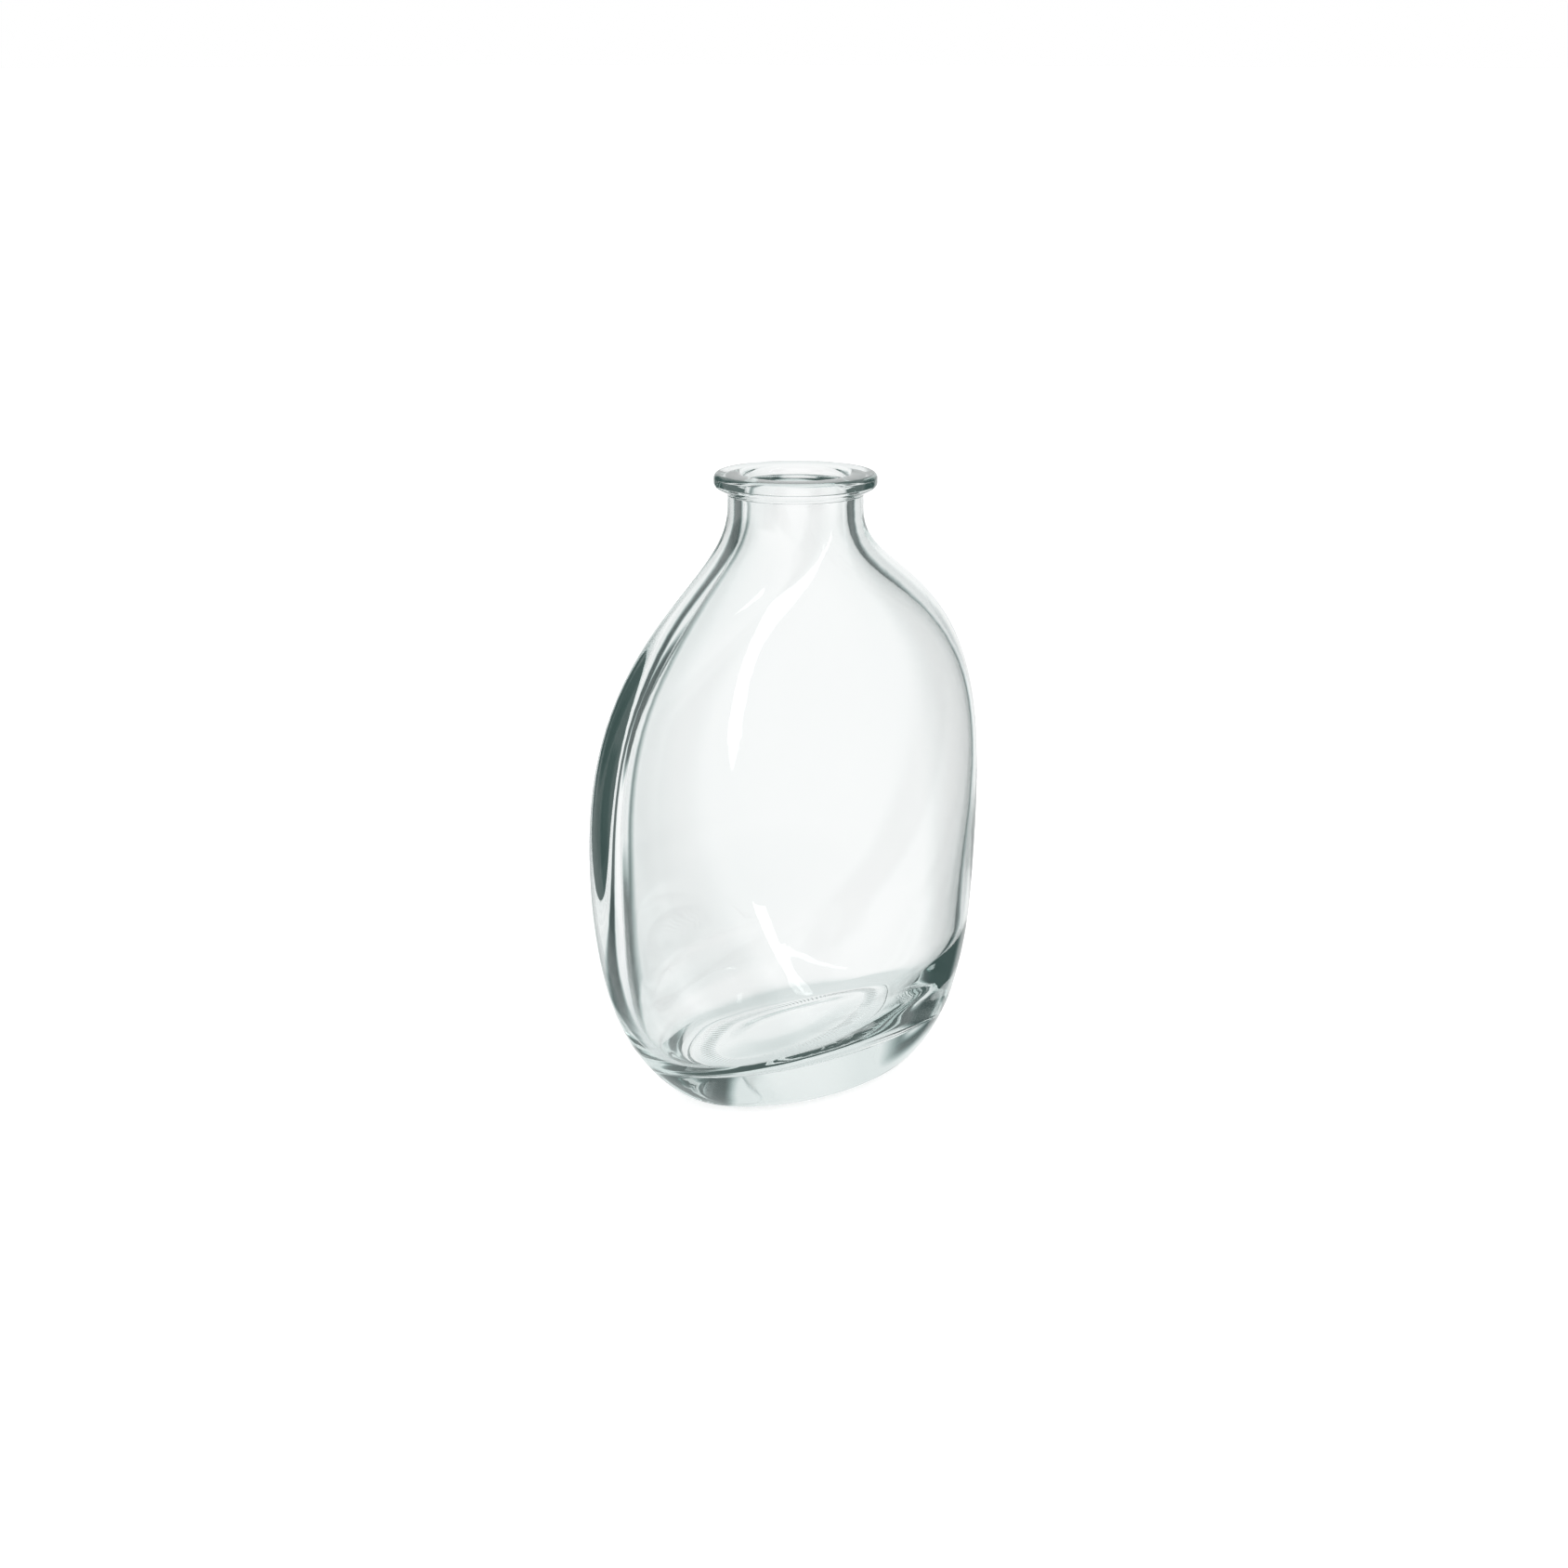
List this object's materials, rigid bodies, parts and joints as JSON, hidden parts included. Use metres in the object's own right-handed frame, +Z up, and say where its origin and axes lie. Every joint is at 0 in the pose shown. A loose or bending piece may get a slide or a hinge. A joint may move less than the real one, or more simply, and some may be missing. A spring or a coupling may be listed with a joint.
{
  "type": "bud vase",
  "caption": "Flattened oval flask in clear glass with a heavy base, a short round neck and a rolled lip, holding cut stems in water.",
  "frame": {"origin": "on the surface the vase stands on, at the middle of its outline and on the axis of the neck", "axes": "+Z up along the neck, +X along the broad side, +Y through the narrow side"},
  "size_m": [0.1052, 0.0484, 0.12],
  "materials": {
    "clear_glass": "clear pressed-and-blown soda-lime glass, fire polished, with a faint grey-green cast where it is thick"
  },
  "bodies": {
    "root": {"vase_glass": "clear_glass"}
  },
  "joints": []
}
